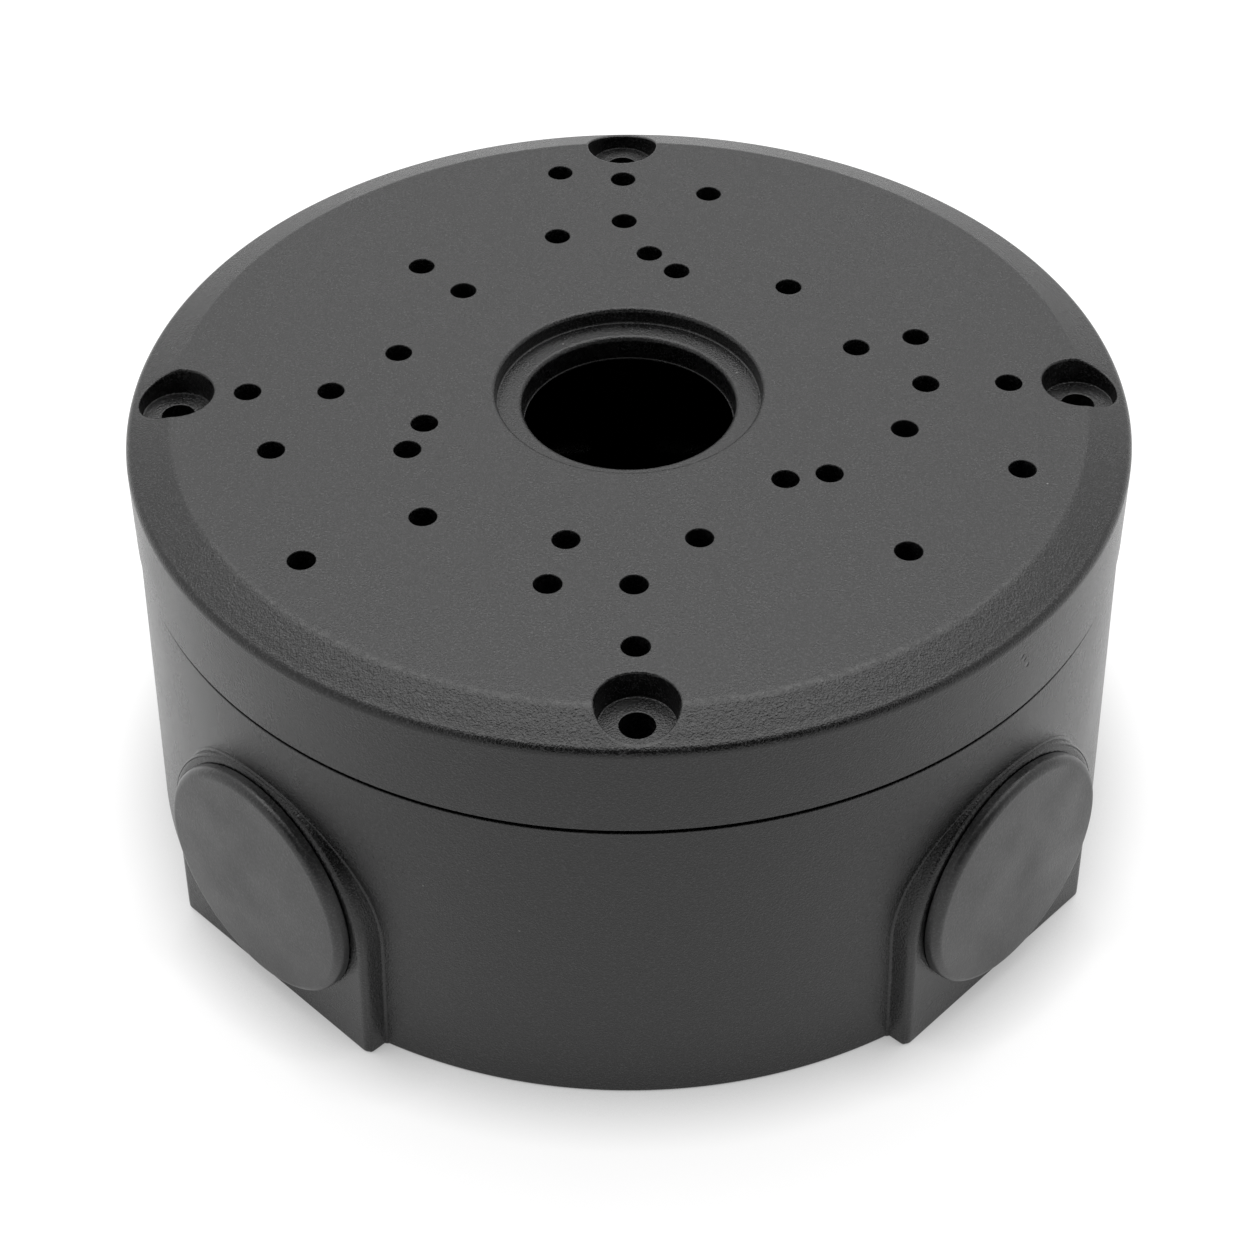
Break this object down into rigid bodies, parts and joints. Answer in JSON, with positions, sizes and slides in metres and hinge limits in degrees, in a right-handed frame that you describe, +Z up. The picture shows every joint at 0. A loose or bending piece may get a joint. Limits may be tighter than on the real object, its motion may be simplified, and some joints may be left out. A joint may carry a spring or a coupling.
{
  "type": "camera junction box",
  "caption": "Round cast metal junction box for a surveillance camera, with a screw-hole cover and plugged side entries.",
  "frame": {"origin": "centre of the base's underside", "axes": "+Z up through the cover, the two plugged entries face front left and front right, front at -Y"},
  "size_m": [0.1402, 0.1402, 0.0634],
  "materials": {
    "powder_coat": "fine textured powder coat",
    "plug_plastic": "matt moulded",
    "seal_rubber": "matt rubber",
    "zinc_steel": "zinc plated"
  },
  "bodies": {
    "root": {"base_housing": "powder_coat", "cover_plate": "powder_coat", "cover_gasket": "seal_rubber", "side_plug_left": "plug_plastic", "side_plug_right": "plug_plastic", "side_plug_seal_left": "seal_rubber", "side_plug_seal_right": "seal_rubber", "rear_grommet": "seal_rubber", "earth_screw": "zinc_steel", "earth_clamp_washer": "zinc_steel", "earth_spring_washer": "zinc_steel"}
  },
  "joints": []
}
